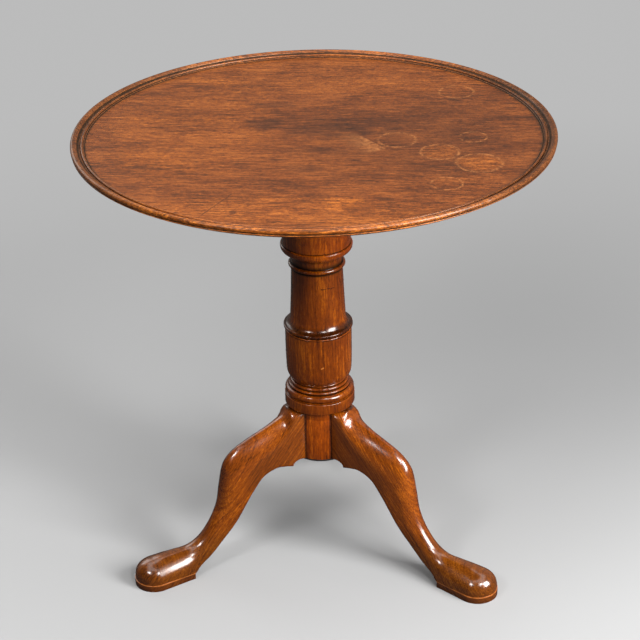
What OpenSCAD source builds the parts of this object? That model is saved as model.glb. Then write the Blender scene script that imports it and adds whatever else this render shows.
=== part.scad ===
// Tilt-top tripod supper table in mahogany.
// A dished round top swings on a block that is tenoned to a turned column; three cabriole legs are
// dovetailed into the foot of the column. Millimetres, +Z up, origin on the floor under the column.
// The rear leg lies along +Y and the top tips over the -Y edge of the block.

/* [Table top] */
// Diameter of the round top
top_d = 720; // [640:1:760]
// Height of the rim above the floor
table_h = 720; // [700:1:760]
// Thickness of the board the top is turned from
board_t = 20; // [18:0.5:24]
// Depth of the dish below the rim
dish_depth = 8; // [6:0.5:9]
// Width of the moulded rim
rim_w = 24; // [20:0.5:30]
// Radius of the round nosing at the outer edge
nosing_r = 4; // [3:0.25:4.5]
// Height of the plain edge band under the nosing
edge_band = 1.5; // [1:0.25:3]
// Width of the bevel worked on the underside
bevel_w = 22; // [16:1:28]

/* [Bearers] */
// Width of each bearer under the top
bearer_w = 34; // [28:1:40]
// Depth of each bearer
bearer_h = 30; // [26:1:34]
// Length of each bearer
bearer_len = 540; // [480:5:580]
// Length of the taper at each end of a bearer
bearer_taper = 120; // [80:5:140]
// Depth left at the tips of a bearer
bearer_tip = 12; // [8:1:18]
// Side play between a bearer and the block
bearer_play = 0.4; // [0.3:0.1:0.8]
// Distance of the end screws from the middle of a bearer
bearer_screw_y = 135; // [110:5:145]
// Wood left between the end of a pintle and the outside of a bearer
pintle_cover = 2; // [1:0.5:4]

/* [Block] */
// Width of the block across the pivot
block_w = 200; // [180:1:210]
// Length of the block along the bearers
block_l = 200; // [180:1:220]
// Thickness of the block
block_t = 22; // [20:0.5:25]
// Gap between the block and the top above it
block_gap = 0.3; // [0.2:0.05:0.6]
// Radius of the two pintles
pintle_r = 8; // [6.5:0.25:9]
// Running clearance around a pintle
pintle_clear = 0.05; // [0.02:0.01:0.1]

/* [Catch] */
// Width of the brass catch plate
catch_w = 46; // [44:1:54]
// Length of the brass catch plate
catch_l = 60; // [58:1:72]
// Thickness of the brass catch plate
catch_t = 2; // [1.5:0.25:3]
// Width of the catch case
case_w = 26; // [22:1:28]
// Length of the catch case
case_l = 46; // [44:1:52]
// Height of the catch case
case_h = 14; // [13:0.5:16]
// Wall of the catch case
case_wall = 2; // [1.5:0.25:2.5]
// Width of the sliding bolt
bolt_w = 12; // [10:0.5:14]
// Height of the sliding bolt
bolt_h = 8; // [7:0.5:8.5]
// Height of the bolt above the middle of the edge of the block
bolt_rise = 1.3; // [1:0.1:1.6]
// Reach of the drawn bolt beyond the mouth of its case
nose_proud = 1; // [0.5:0.1:1.2]
// Travel of the bolt
bolt_travel = 9; // [7:0.5:10]
// Running clearance on each side of the bolt
bolt_clear = 0.08; // [0.04:0.01:0.1]
// Gap between the drawn bolt and the edge of the block
bolt_nose_gap = 1; // [0.8:0.1:1.5]
// Radius of the catch knob
knob_r = 7; // [5:0.5:8]
// Width of the bow spring that presses on the bolt
spring_w = 8; // [6:0.5:9]
// Thickness of the bow spring
spring_t = 0.6; // [0.4:0.1:0.8]
// Length of the bow spring
spring_l = 28; // [24:1:30]
// Height of the keeper plate in the edge of the block
keeper_h = 16; // [15:0.5:18]
// Width of the keeper plate
keeper_w = 44; // [38:1:50]
// Thickness of the keeper plate
keeper_t = 2; // [1.5:0.25:2.5]
// Distance of the keeper screws from the middle of the plate
keeper_screw_x = 15; // [13.5:0.25:15.5]

/* [Column head] */
// Radius of the tenon that holds the block
tenon_r = 25; // [20:0.5:30]
// Clearance around the tenon
tenon_clear = 0.05; // [0.03:0.01:0.1]
// Width of the wedge at its wide end
wedge_w = 5; // [4:0.5:7]
// Width of the wedge at its thin end
wedge_tip = 1.5; // [1:0.25:2.5]
// Depth of the kerf and its wedge in the tenon
wedge_depth = 18.5; // [14:0.5:19.5]
// Radius of the plain drum under the block
drum_r = 53; // [50:0.5:53]
// Height of the capital lip above the floor
lip_z = 537; // [530:1:560]
// Radius of the capital lip
lip_r = 55.8; // [55.5:0.1:58]
// Height of the round moulding under the lip
ovolo_h = 13.5; // [12:0.5:16]
// Height of the hollow neck between that moulding and the necking ring
neck_h = 18.7; // [15:0.1:20]
// Radius of the neck
neck_r = 39.6; // [37:0.1:39.8]
// Radius of the necking ring
neck_ring_r = 44.2; // [43.5:0.1:46]
// Height of the necking ring
neck_ring_h = 5.8; // [4:0.2:7]

/* [Column shaft] */
// Radius of the shaft at its top
shaft_top_r = 40; // [36:0.5:42]
// Radius of the shaft at its foot
shaft_low_r = 43.2; // [40:0.2:46]
// Height of the ring between shaft and cup
ring_z = 399; // [390:1:415]
// Radius of that ring
ring_r = 54.2; // [53.5:0.1:56]
// Thickness of that ring
ring_h = 4.4; // [3.2:0.2:6]
// Height of the flare above the ring
flare_h = 15; // [12:0.5:18]
// Radius of the cup below the ring
cup_r = 52.2; // [50:0.1:52.5]

/* [Column base] */
// Radius of the large round moulding
torus_r = 54.6; // [54:0.1:58]
// Height of the large round moulding
torus_h = 12; // [10:0.5:14]
// Height of the lowest of three beads above it
low_bead_h = 3.8; // [3:0.2:5]
// Height of the middle bead
mid_bead_h = 4.9; // [3.5:0.1:6]
// Height of the top bead, under the cup
top_bead_h = 2.6; // [2:0.2:3.2]
// Radius of the base drum above the legs
base_r = 55.4; // [55:0.1:60]
// Height of the base drum
base_h = 17.4; // [15:0.2:22]
// Height of the underside of the base drum
base_z = 260; // [250:1:275]
// Radius of the hub that takes the legs
hub_r = 45; // [42:0.5:48]
// Height of the underside of the hub
hub_z = 172; // [165:1:180]

/* [Legs] */
// Radius from the column axis to the tip of a toe
toe_reach = 329; // [300:1:350]
// Width of a leg at the hub
leg_w = 50; // [44:0.5:54]
// Length of a foot along the leg
foot_len = 92; // [80:1:105]
// Half-width of the foot at the heel
heel_half = 24.6; // [22:0.2:27]
// Radius of the round toe
toe_r = 32.5; // [28:0.5:36]
// Height of the foot above the floor
foot_h = 46; // [42:0.5:52]
// Thickness of the sole pad under the foot
pad_h = 11; // [8:0.5:14]
// Width of the ledge between pad and foot
pad_ledge = 0.9; // [0.5:0.1:1.5]
// Half-width of the dovetail at the face of the hub
tail_neck = 7; // [5:0.5:9]
// Half-width of the dovetail at its root
tail_root = 10.5; // [9:0.5:12]
// Depth of the dovetail in the hub
tail_depth = 14; // [10:0.5:16]
// Height of the dovetail
tail_h = 72; // [60:1:80]
// Clearance around the dovetail
tail_clear = 0.1; // [0.05:0.01:0.2]

/* [Brace plate] */
// Thickness of the iron plate under the hub
brace_t = 3; // [2:0.25:4]
// Inset of the plate from the edge of the hub
brace_inset = 0.5; // [0:0.25:2]
// Width of each arm of the plate
brace_arm_w = 30; // [24:1:36]
// Length of each arm beyond the middle of its screw
brace_arm_end = 5.5; // [5:0.25:7]
// Radius of the circle of leg screws in the plate
brace_screw_r = 41; // [40.5:0.25:41.5]
// Radius of the circle of hub screws in the plate
brace_hub_screw_r = 28; // [20:1:32]

/* [Screws] */
// Radius of a wood screw's shank
screw_r = 2; // [1.5:0.1:2.2]
// Radius of a wood screw's head
screw_head_r = 4; // [3.5:0.1:4.5]
// Depth of the countersunk part of a screw's head
screw_head_t = 2.4; // [2:0.1:2.8]
// Width and depth of the slot in a screw's head
slot_w = 0.8; // [0.6:0.1:1]
// Clearance around a screw
screw_clear = 0.05; // [0.03:0.01:0.1]
// Depth of wood that a bearer screw bites in the top
bearer_screw_bite = 7; // [6:0.5:8]
// Length of a bearer screw
bearer_screw_len = 28; // [24:1:30]
// Length of a catch, keeper or brace screw
small_screw_len = 11; // [9:0.5:12]

/* [Hidden] */

wood = "#9a5226";
wood_dark = "#7a3c1a";
wood_pale = "#a8683a";
brass = "#b08d4a";
iron = "#3a3836";
round_fn = 96;

// Heights of the top and of what carries it
top_r = top_d / 2;
under_z = table_h - board_t;
dish_z = table_h - dish_depth;
block_top = under_z - block_gap;
block_low = block_top - block_t;
pivot_r = block_t / 2;
pivot_y = -block_l / 2 + pivot_r;
pivot_z = block_top - pivot_r;
bearer_x = block_w / 2 + bearer_play;
pintle_span = block_w + 2 * (bearer_w - pintle_cover);

// The legs: directions, seat on the hub and heel of the foot
leg_angles = [90, 210, 330];
fit_gap = 0.3;
leg_top = base_z - fit_gap;
seat_r = sqrt(pow(hub_r, 2) - pow(leg_w / 2, 2));
heel_x = toe_reach - foot_len;
toe_x = toe_reach - toe_r;

// The catch: the bolt is drawn back, so the top is free to tip
bolt_z = pivot_z + bolt_rise;
bolt_nose_y = block_l / 2 + bolt_nose_gap;
case_y = bolt_nose_y + nose_proud;
case_top = under_z - catch_t;
bolt_low = bolt_z - bolt_h / 2;
case_low = case_top - case_h;
bolt_body_l = 26;
bolt_shoulder = 1;
bolt_stop_gap = 0.3;
bolt_tail_y = case_y + case_wall + bolt_travel + bolt_stop_gap + bolt_body_l;
spring_touch = 0.05;
spring_y = case_y + case_wall + bolt_body_l / 2 + bolt_travel / 2;
catch_y = case_y + catch_l / 2;
knob_y = bolt_tail_y - bolt_body_l / 2;
knob_neck_r = 2.5;
knob_seat = 3.8;
plate_clear = 0.1;
keeper_mouth = 0.6;
mortise_room = 1;
catch_screw_x = catch_w / 2 - 5.5;
catch_screw_y = catch_l / 2 - 6;

// An arc in a moulding profile, from one angle to another
function arc(x, z, r, from, to, steps) =
    [for (i = [0 : steps]) let (a = from + (to - from) * i / steps) [x + r * cos(a), z + r * sin(a)]];
// A quarter of an ellipse, from one angle to another
function oval(x, z, rx, rz, from, to, steps) =
    [for (i = [0 : steps]) let (a = from + (to - from) * i / steps) [x + rx * cos(a), z + rz * sin(a)]];

// A wood screw standing on its head, with its point up; the head is slotted
module screw(len) {
    difference() {
        cylinder(r1 = screw_head_r, r2 = screw_r, h = screw_head_t, $fn = 32);
        translate([-screw_head_r, -slot_w / 2, -slot_w]) cube([2 * screw_head_r, slot_w, 2 * slot_w]);
    }
    translate([0, 0, screw_head_t]) cylinder(r = screw_r, h = len - screw_head_t - screw_r, $fn = 32);
    translate([0, 0, len - screw_r]) cylinder(r1 = screw_r, r2 = screw_r / 5, h = screw_r, $fn = 32);
}

// The countersunk hole for that screw
module screw_hole(len) {
    translate([0, 0, -1]) cylinder(r = screw_head_r + screw_clear, h = 1, $fn = 32);
    cylinder(r1 = screw_head_r + screw_clear, r2 = screw_r + screw_clear, h = screw_head_t, $fn = 32);
    cylinder(r = screw_r + screw_clear, h = len + screw_clear, $fn = 32);
}

// Where the screws stand: each list holds [x, y]
bearer_screw_places = [-bearer_screw_y, 0, bearer_screw_y];
bearer_screw_z = under_z + bearer_screw_bite - bearer_screw_len;
catch_screw_places = [for (sx = [-1, 1], sy = [-1, 1]) [sx * catch_screw_x, catch_y + sy * catch_screw_y]];

// Table top: one dished board, its rim moulded in the turning. From the outside in come a bevel and a
// band, a round nosing, a hollow, a small bead and a short curve down to the dish.
edge_r = top_r - nosing_r / 4;
band_top = table_h - 2 * nosing_r;
band_low = band_top - edge_band;
bead_r = rim_w * 0.075;
rim_profile = concat(
    [[0, under_z], [edge_r - bevel_w, under_z], [edge_r - bevel_w / 2, under_z + (band_low - under_z) * 0.4]],
    [[edge_r, band_low], [edge_r, band_top - 0.5], [edge_r - nosing_r / 4, band_top]],
    arc(top_r - nosing_r, table_h - nosing_r, nosing_r, -50, 110, 12),
    oval(top_r - rim_w * 0.58, table_h - nosing_r * 0.3, rim_w * 0.2, dish_depth * 0.56, -20, -90, 5),
    [[top_r - rim_w * 0.61, table_h - dish_depth * 0.72]],
    arc(top_r - rim_w * 0.7, table_h - dish_depth * 0.68, bead_r, 20, 165, 6),
    [[top_r - rim_w * 0.79, table_h - dish_depth * 0.84]],
    oval(top_r - rim_w, table_h - dish_depth * 0.84, rim_w * 0.17, dish_depth * 0.16, 0, -90, 4),
    [[0, dish_z]]);

module tabletop() {
    color(wood) difference() {
        rotate_extrude($fn = 180) polygon(rim_profile);
        for (side = [-1, 1], y = bearer_screw_places)
            translate([side * (bearer_x + bearer_w / 2), y, bearer_screw_z]) screw_hole(bearer_screw_len);
        for (p = catch_screw_places) translate([p[0], p[1], case_top]) screw_hole(small_screw_len);
    }
}

// Bearer: stiffens the top across its grain and holds one pintle of the block
module bearer(side) {
    half = bearer_len / 2;
    color(wood_dark) difference() {
        translate([side * (bearer_x + bearer_w / 2), 0, under_z]) rotate([90, 0, 90])
            translate([0, 0, -bearer_w / 2]) linear_extrude(bearer_w) polygon([
                [-half, 0], [-half, -bearer_tip], [-half + bearer_taper, -bearer_h],
                [half - bearer_taper, -bearer_h], [half, -bearer_tip], [half, 0]]);
        translate([side * (bearer_x + bearer_w / 2), pivot_y, pivot_z]) rotate([0, 90, 0])
            cylinder(r = pintle_r + pintle_clear, h = bearer_w + 2, center = true, $fn = round_fn);
        for (y = bearer_screw_places) translate([side * (bearer_x + bearer_w / 2), y, bearer_screw_z]) {
            screw_hole(bearer_screw_len);
            translate([0, 0, -bearer_h]) cylinder(r = screw_head_r + 0.5, h = bearer_h, $fn = 32);
        }
    }
}

module bearer_screws(side) {
    color(iron) for (y = bearer_screw_places)
        translate([side * (bearer_x + bearer_w / 2), y, bearer_screw_z]) screw(bearer_screw_len);
}

// Block: turns between the bearers on two pintles worked on its rounded edge
module block() {
    color(wood_dark) difference() {
        union() {
            translate([-block_w / 2, pivot_y, block_low]) cube([block_w, block_l / 2 - pivot_y, block_t]);
            translate([0, pivot_y, pivot_z]) rotate([0, 90, 0])
                cylinder(r = pivot_r, h = block_w, center = true, $fn = round_fn);
            translate([0, pivot_y, pivot_z]) rotate([0, 90, 0])
                cylinder(r = pintle_r, h = pintle_span, center = true, $fn = round_fn);
        }
        translate([0, 0, block_low - 1]) cylinder(r = tenon_r + tenon_clear, h = block_t + 2, $fn = round_fn);
        translate([0, block_l / 2, pivot_z]) keeper_room();
    }
}

// Room in the edge of the block for the keeper plate, the bolt and two screws
module keeper_room() {
    translate([-keeper_w / 2 - plate_clear, -keeper_t, -keeper_h / 2 - plate_clear])
        cube([keeper_w + 2 * plate_clear, keeper_t + 1, keeper_h + 2 * plate_clear]);
    keeper_slot(mortise_room, bolt_travel + keeper_t + mortise_room);
    keeper_screw_spots() screw_hole(small_screw_len);
}

// Opening for the nose of the bolt, with room around it, to a depth behind the edge of the block
module keeper_slot(room, depth) {
    translate([-bolt_w / 2 - room, -depth, bolt_rise - bolt_h / 2 - room])
        cube([bolt_w + 2 * room, depth + 1, bolt_h + 2 * room]);
}

module keeper_screw_spots() {
    for (side = [-1, 1]) translate([side * keeper_screw_x, 0, 0]) rotate([90, 0, 0]) children();
}

// Keeper plate: takes the nose of the catch bolt
module keeper_plate() {
    color(brass) translate([0, block_l / 2, pivot_z]) difference() {
        translate([-keeper_w / 2, -keeper_t, -keeper_h / 2]) cube([keeper_w, keeper_t, keeper_h]);
        keeper_slot(keeper_mouth, keeper_t + 1);
        keeper_screw_spots() screw_hole(small_screw_len);
    }
}

module keeper_screws() {
    color(brass) translate([0, block_l / 2, pivot_z]) keeper_screw_spots() screw(small_screw_len);
}

// Wedge driven into the kerf of the tenon from above
module tenon_wedge() {
    color(wood_pale) intersection() {
        wedge_shape(tenon_clear);
        translate([0, 0, block_low]) cylinder(r = tenon_r, h = block_t - tenon_clear, $fn = round_fn);
    }
}

// The wedge itself; clear thins it on both faces and shortens it
module wedge_shape(clear) {
    wide = wedge_w / 2 - clear;
    thin = wedge_tip / 2 - clear;
    translate([0, 0, block_top]) rotate([90, 0, 90]) translate([0, 0, -tenon_r - 1])
        linear_extrude(2 * tenon_r + 2) polygon([[-wide, 1], [-wide, 0], [-thin, clear - wedge_depth],
            [thin, clear - wedge_depth], [wide, 0], [wide, 1]]);
}

// Heights of the mouldings of the column, from the base up
arris = 0.7;
quirk = 1;
groove_h = 1.2;
hollow_h = 1.6;
fillet_h = 3;
torus_z = base_z + base_h + groove_h;
low_bead_z = torus_z + torus_h + hollow_h;
mid_bead_z = low_bead_z + low_bead_h + quirk;
top_bead_z = mid_bead_z + mid_bead_h + quirk * 1.6;
cup_z = top_bead_z + top_bead_h + quirk * 1.2;
ring_low = ring_z - ring_h;
neck_z = lip_z - ovolo_h;
neck_foot = neck_z - neck_h;
shaft_z = neck_foot - neck_ring_h;

// Radii of the beads and the fillet
low_bead_r = torus_r - 5.4;
mid_bead_r = cup_r - 5.8;
top_bead_r = cup_r - 8;
top_quirk_r = top_bead_r - top_bead_h / 2 - quirk;
fillet_r = neck_r + 5.6;

// A half-round bead from a height up, out to a radius
function bead(r, z, h, steps) = arc(r - h / 2, z + h / 2, h / 2, -80, 80, steps);

// Column, turned in one piece from the hub to the tenon
base_profile = concat(
    [[0, hub_z], [hub_r, hub_z], [hub_r, base_z], [base_r - arris, base_z], [base_r, base_z + arris]],
    [[base_r, base_z + base_h - arris], [base_r - arris, base_z + base_h]],
    [[base_r - 3 * arris, base_z + base_h], [base_r - 3 * arris, torus_z - groove_h / 4]],
    arc(torus_r - torus_h / 2, torus_z + torus_h / 2, torus_h / 2, -70, 90, 10),
    [[low_bead_r - low_bead_h / 2, torus_z + torus_h + hollow_h / 3]],
    bead(low_bead_r, low_bead_z, low_bead_h, 6),
    [[mid_bead_r - mid_bead_h / 2, mid_bead_z - quirk / 2]],
    bead(mid_bead_r, mid_bead_z, mid_bead_h, 6),
    [[top_quirk_r, top_bead_z - quirk], [top_quirk_r, top_bead_z]],
    bead(top_bead_r, top_bead_z, top_bead_h, 5),
    [[top_quirk_r, cup_z - quirk], [top_quirk_r, cup_z]]);
shaft_profile = concat(
    oval(cup_r - 7.5, cup_z + 16, 6.6, 15.5, -100, -12, 7),
    [[cup_r - 0.5, cup_z + 22], [cup_r - 0.1, cup_z + 41], [cup_r, ring_low - 5]],
    arc(cup_r - 0.8, ring_low - 4, 1.1, -40, 90, 5),
    [[cup_r - 2.2, ring_low - 2.8], [cup_r - 2.2, ring_low], [ring_r - arris, ring_low]],
    [[ring_r, ring_low + arris], [ring_r, ring_z - 1.5]],
    arc(ring_r - 1.4, ring_z - 1.4, 1.4, 10, 80, 4),
    oval(ring_r - 1.8, ring_z + flare_h, ring_r - 1.8 - shaft_low_r, flare_h, -90, -175, 8),
    [[shaft_low_r - 0.1, ring_z + flare_h + 3], [shaft_top_r, shaft_z - 4], [shaft_top_r + 0.6, shaft_z]]);
capital_profile = concat(
    bead(neck_ring_r, shaft_z, neck_ring_h, 8),
    [[neck_r, neck_foot], [neck_r, neck_foot + (neck_h - fillet_h) / 2]],
    oval(fillet_r - arris, neck_foot + (neck_h - fillet_h) / 2, fillet_r - arris - neck_r,
        (neck_h - fillet_h) / 2, 170, 90, 6),
    [[fillet_r, neck_z - fillet_h + arris / 2], [fillet_r, neck_z - arris / 2], [fillet_r + arris, neck_z]],
    oval(lip_r - 9.6, lip_z - 3.4, 9.6, ovolo_h - 3.4, -80, 0, 8),
    arc(lip_r - 2.3, lip_z - 2.3, 2.3, 10, 90, 5));
head_profile = concat(
    [[drum_r, lip_z - arris], [drum_r, block_low - 14], [drum_r - 1, block_low - 13]],
    [[drum_r - 1, block_low - 11], [drum_r + 1, block_low - 10]],
    arc(drum_r + 0.6, block_low - 6.8, 3.2, -70, 70, 6),
    [[drum_r + 1, block_low - 3], [drum_r + 1, block_low], [tenon_r, block_low]],
    [[tenon_r, block_top - arris], [tenon_r - arris, block_top], [0, block_top]]);

module column() {
    color(wood) difference() {
        rotate_extrude($fn = round_fn)
            polygon(concat(base_profile, shaft_profile, capital_profile, head_profile));
        for (a = leg_angles) rotate(a) {
            translate([seat_r, -leg_w / 2 - 1, hub_z - 1]) cube([hub_r, leg_w + 2, base_z - hub_z + 1]);
            translate([0, 0, hub_z - 1]) linear_extrude(tail_h + fit_gap + 1) tail_outline(tail_clear, 1);
        }
        wedge_shape(0);
        for (a = leg_angles) rotate(a + 60) translate([brace_hub_screw_r, 0, hub_z - brace_t])
            screw_hole(small_screw_len);
    }
}

// Plan of a dovetail; grow widens it into the socket and over runs past the face of the hub
module tail_outline(grow, over) {
    polygon([[seat_r + over, tail_neck + grow], [seat_r + over, -tail_neck - grow],
        [seat_r, -tail_neck - grow], [seat_r - tail_depth - grow, -tail_root - grow],
        [seat_r - tail_depth - grow, tail_root + grow], [seat_r, tail_neck + grow]]);
}

// Stations down a leg, from the face of the hub to the heel. Each gives the upper edge and the lower
// edge of a section as percentages: along the run from hub face to heel, and of the leg's height.
// Then come the half-width, the height of the shoulder and the rounding of the lower edges, as shares.
leg_shares = [
    [0, 100, 0, 66.3, 1, 0.93, 0.02],
    [6.3, 100, 5.3, 66.3, 1, 0.84, 0.03],
    [9.3, 100, 7.8, 65.8, 1, 0.77, 0.03],
    [10.6, 99.6, 9.8, 64.8, 1, 0.74, 0.04],
    [11.5, 98.6, 11, 63.6, 1, 0.73, 0.05],
    [12.2, 96.6, 11.3, 62.4, 1, 0.75, 0.06],
    [14.3, 94.5, 14.3, 62.9, 1, 0.73, 0.06],
    [17.3, 93, 18.3, 63.5, 1, 0.66, 0.07],
    [29.1, 88.8, 26.4, 63.7, 0.98, 0.51, 0.09],
    [44.6, 83.9, 37.4, 59.7, 0.96, 0.48, 0.12],
    [57.6, 78.9, 46.4, 50.4, 0.93, 0.52, 0.16],
    [66.5, 71, 52.4, 42.4, 0.89, 0.58, 0.2],
    [70.6, 57.8, 58.4, 33.9, 0.82, 0.52, 0.26],
    [73.9, 43.9, 63.9, 27.3, 0.73, 0.48, 0.32],
    [80.7, 32.6, 72.4, 19.8, 0.67, 0.48, 0.34],
    [89.8, 23.5, 83, 11.7, 0.69, 0.48, 0.3],
    [100.4, 18.5, 93.5, 6.6, 0.8, 0.42, 0.22]];
spline_start = 6;
spline_steps = 3;

// A station in real sizes: upper point, lower point, half-width, shoulder, rounding
function shank_station(s) =
    [seat_r + (heel_x - seat_r) * s[0] / 100, leg_top * s[1] / 100,
     seat_r + (heel_x - seat_r) * s[2] / 100, leg_top * s[3] / 100, leg_w / 2 * s[4], s[5], s[6]];
// The foot widens evenly from the heel to the round toe
function pad_half(x) = x < toe_x
    ? heel_half + (toe_r - heel_half) * (x - heel_x) / (toe_x - heel_x)
    : sqrt(max(0, pow(toe_r, 2) - pow(x - toe_x, 2)));
body_low = pad_h - 2.5;
function foot_station(up, rise, low, shoulder) =
    [heel_x + foot_len * up, foot_h * rise, heel_x + foot_len * low, body_low,
     pad_half(heel_x + foot_len * (up + low) / 2) - pad_ledge, shoulder, 0.08];
function toe_station(a) =
    let (x = toe_x + (toe_r - pad_ledge) * sin(a))
    [x, pad_h + (foot_h * 0.9 - pad_h) * pow(cos(a), 0.62), x, body_low,
     (toe_r - pad_ledge) * cos(a), 0.25, 0.08];
main_stations = concat(
    [for (s = leg_shares) shank_station(s)],
    [foot_station(0.27, 0.99, 0.02, 0.36), foot_station(0.52, 0.955, 0.34, 0.3),
     foot_station(0.70, 0.905, 0.66, 0.25)]);

// A smooth curve through the stations beyond the cusp
function between(p, q, r, s, t) =
    0.5 * (2 * q + (r - p) * t + (2 * p - 5 * q + 4 * r - s) * t * t + (3 * q - p - 3 * r + s) * t * t * t);
last_station = len(main_stations) - 1;
leg_rings = concat(
    [for (i = [0 : spline_start - 1]) main_stations[i]],
    [for (i = [spline_start : last_station - 1], k = [0 : spline_steps - 1])
        between(main_stations[max(i - 1, spline_start)], main_stations[i], main_stations[i + 1],
            main_stations[min(i + 2, last_station)], k / spline_steps)],
    [main_stations[last_station]],
    [for (a = [18, 32, 45, 57, 67, 76, 83, 88]) toe_station(a)]);

// One section: flat sides, a rounded crown and softened lower edges, as points in space
crown_steps = 14;
edge_steps = 3;
function swell(v) = sign(v) * pow(abs(v), 0.9);
function section_shape(half, shoulder, soft) = concat(
    [for (i = [0 : edge_steps]) let (a = -90 + 90 * i / edge_steps)
        [half * (1 - soft) + half * soft * cos(a), soft * shoulder * (1 + sin(a))]],
    [for (i = [0 : crown_steps]) let (a = 180 * i / crown_steps)
        [half * swell(cos(a)), shoulder + (1 - shoulder) * swell(sin(a))]],
    [for (i = [0 : edge_steps]) let (a = 180 + 90 * i / edge_steps)
        [-half * (1 - soft) + half * soft * cos(a), soft * shoulder * (1 + sin(a))]]);
function ring_points(s) = [for (p = section_shape(s[4], s[5], s[6]))
    [s[2] + (s[0] - s[2]) * p[1], p[0], s[3] + (s[1] - s[3]) * p[1]]];
ring_size = crown_steps + 2 * edge_steps + 3;

module leg_sweep() {
    rings = len(leg_rings);
    points = [for (s = leg_rings) each ring_points(s)];
    sides = [for (r = [0 : rings - 2], k = [0 : ring_size - 1])
        let (a = r * ring_size + k, b = r * ring_size + (k + 1) % ring_size)
        each [[a, a + ring_size, b], [b, a + ring_size, b + ring_size]]];
    near_end = [for (k = [0 : ring_size - 1]) k];
    far_end = [for (k = [ring_size - 1 : -1 : 0]) (rings - 1) * ring_size + k];
    polyhedron(points = points, faces = concat(sides, [near_end, far_end]));
}

// Plan of the sole pad: straight heel, sides that open to the round toe
module sole_outline() {
    dx = heel_x - toe_x;
    reach = sqrt(dx * dx + heel_half * heel_half);
    touch = atan2(heel_half, dx) - acos(toe_r / reach);
    translate([toe_x, 0]) {
        circle(r = toe_r, $fn = round_fn);
        polygon([[dx, heel_half], [toe_r * cos(touch), toe_r * sin(touch)],
            [toe_r * cos(touch), -toe_r * sin(touch)], [dx, -heel_half]]);
    }
}

// Leg: one piece from the dovetail to the sole
module leg(angle) {
    color(wood) rotate(angle) difference() {
        union() {
            leg_sweep();
            linear_extrude(pad_h) sole_outline();
            translate([0, 0, hub_z]) linear_extrude(tail_h) tail_outline(0, 1);
        }
        translate([brace_screw_r, 0, hub_z - brace_t]) screw_hole(small_screw_len);
    }
}

module leg_rear() { leg(leg_angles[0]); }
module leg_front_left() { leg(leg_angles[1]); }
module leg_front_right() { leg(leg_angles[2]); }

// Iron plate that closes the sockets and ties the legs to the hub
brace_reach = brace_screw_r + brace_arm_end;
module brace_plate() {
    color(iron) difference() {
        translate([0, 0, hub_z - brace_t]) {
            cylinder(r = hub_r - brace_inset, h = brace_t, $fn = round_fn);
            for (a = leg_angles) rotate(a) translate([0, -brace_arm_w / 2, 0])
                cube([brace_reach, brace_arm_w, brace_t]);
        }
        for (a = leg_angles) rotate(a) {
            translate([brace_screw_r, 0, hub_z - brace_t]) screw_hole(small_screw_len);
            rotate(60) translate([brace_hub_screw_r, 0, hub_z - brace_t]) screw_hole(small_screw_len);
        }
    }
}

module brace_screws() {
    color(iron) for (a = leg_angles) rotate(a) {
        translate([brace_screw_r, 0, hub_z - brace_t]) screw(small_screw_len);
        rotate(60) translate([brace_hub_screw_r, 0, hub_z - brace_t]) screw(small_screw_len);
    }
}

// Catch plate: screwed to the underside of the top, it carries the case
module catch_plate() {
    color(brass) difference() {
        translate([-catch_w / 2, catch_y - catch_l / 2, case_top]) cube([catch_w, catch_l, catch_t]);
        for (p = catch_screw_places) translate([p[0], p[1], case_top]) screw_hole(small_screw_len);
    }
}

module catch_screws() {
    color(brass) for (p = catch_screw_places) translate([p[0], p[1], case_top]) screw(small_screw_len);
}

// Case of the catch: guides the bolt and holds the spring behind it
module catch_case() {
    slit_w = 2 * knob_neck_r + fit_gap;
    room = bolt_clear;
    color(brass) difference() {
        translate([-case_w / 2, case_y, case_low]) cube([case_w, case_l, case_h]);
        translate([-bolt_w / 2 - room, case_y + case_wall, bolt_low - room])
            cube([bolt_w + 2 * room, case_l - 2 * case_wall, bolt_h + 2 * room]);
        translate([-bolt_w / 2 + bolt_shoulder - room, case_y - 1, bolt_low + bolt_shoulder - room])
            cube([bolt_w - 2 * (bolt_shoulder - room), case_wall + 2, bolt_h - 2 * (bolt_shoulder - room)]);
        translate([-slit_w / 2, knob_y - bolt_travel - slit_w / 2, case_low - 1])
            cube([slit_w, bolt_travel + slit_w, bolt_low - case_low + 2]);
        translate([-spring_w / 2 - fit_gap / 2, spring_y - spring_l / 2 - fit_gap / 2, bolt_z])
            cube([spring_w + fit_gap, spring_l + fit_gap, case_h]);
    }
}

// Bolt: a nose that passes the mouth of the case and a wider body behind it
module catch_bolt() {
    color(brass) difference() {
        union() {
            translate([-bolt_w / 2 + bolt_shoulder, bolt_nose_y, bolt_low + bolt_shoulder])
                cube([bolt_w - 2 * bolt_shoulder, bolt_tail_y - bolt_nose_y, bolt_h - 2 * bolt_shoulder]);
            translate([-bolt_w / 2, bolt_tail_y - bolt_body_l, bolt_low]) cube([bolt_w, bolt_body_l, bolt_h]);
        }
        translate([0, knob_y, bolt_low - 1])
            cylinder(r = knob_neck_r + tenon_clear / 2, h = 1 + knob_seat + tenon_clear, $fn = 32);
    }
}

// Knob: its neck stands in the bolt and runs in the slot of the case
module catch_knob() {
    neck_low = case_low - 2;
    ball_z = neck_low - knob_r + 2.5;
    color(brass) translate([0, knob_y, 0]) rotate_extrude($fn = 48) polygon(concat(
        [[0, bolt_low + knob_seat], [knob_neck_r, bolt_low + knob_seat], [knob_neck_r, neck_low]],
        arc(knob_neck_r, ball_z, knob_r - knob_neck_r, 80, -60, 8),
        [[0, ball_z - (knob_r - knob_neck_r) * 0.95]]));
}

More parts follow.
